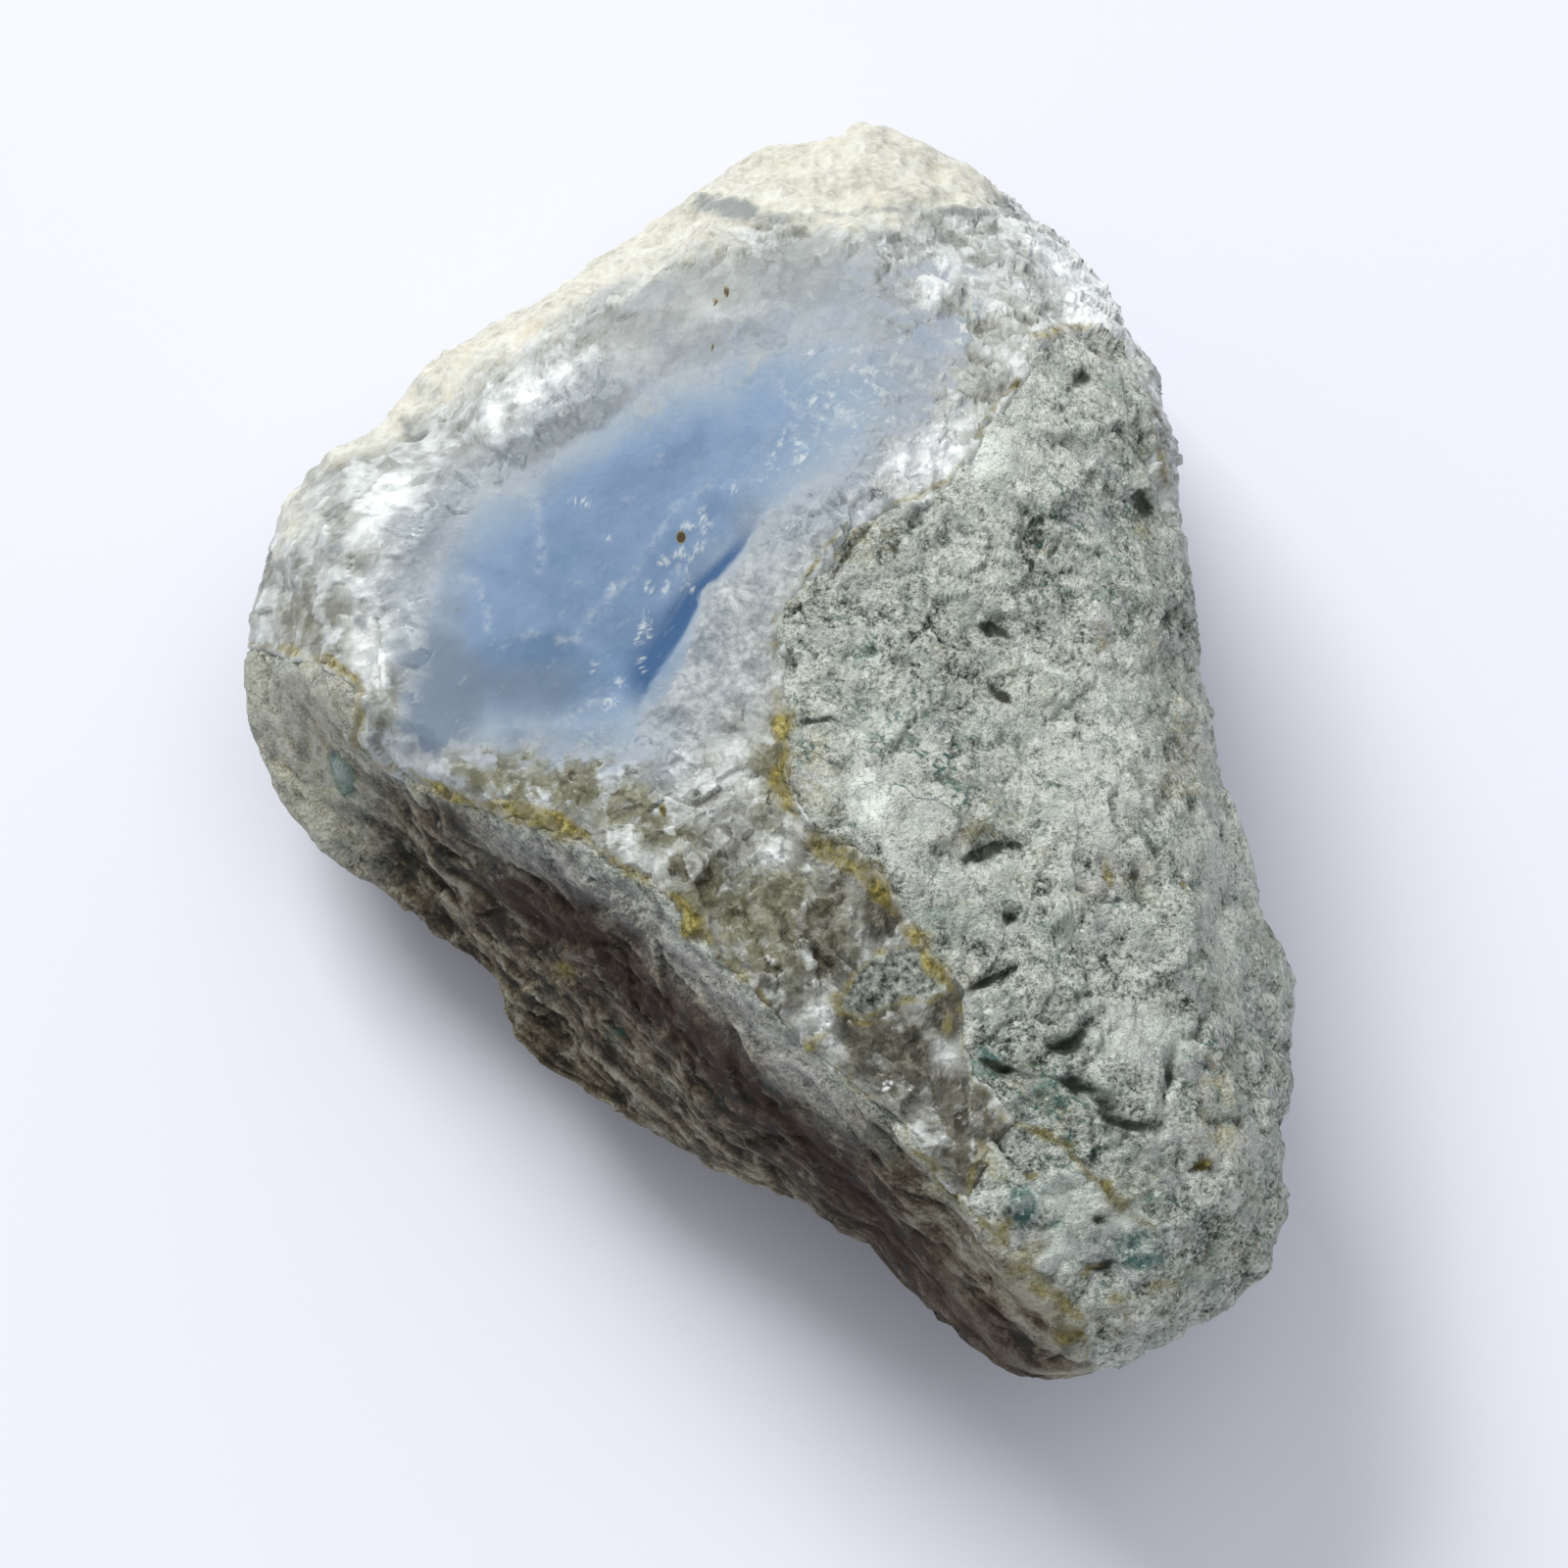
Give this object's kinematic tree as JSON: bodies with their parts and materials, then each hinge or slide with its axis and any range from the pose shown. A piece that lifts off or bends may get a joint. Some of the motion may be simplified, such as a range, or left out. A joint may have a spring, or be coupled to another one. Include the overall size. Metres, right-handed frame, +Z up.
{
  "type": "rough blue opal",
  "caption": "Rough hand-sized stone that lies on its back: grey-green volcanic rock with a seam of waxy blue opal, a frosted quartz rim and a chalky rind.",
  "frame": {"origin": "middle of the stone's box in plan, at the table that it lies on", "axes": "+Z up from the table, +Y along the stone's length from its narrow toe to its broad rind end, +X across it from the opal to the rock face"},
  "size_m": [0.0738, 0.0962, 0.0383],
  "materials": {
    "rock": "grainy, broken, dull grey-green",
    "opal_seam": "waxy blue opal with a frosted, glassy quartz rim"
  },
  "bodies": {
    "root": {"opal_stone": "rock"}
  },
  "joints": []
}
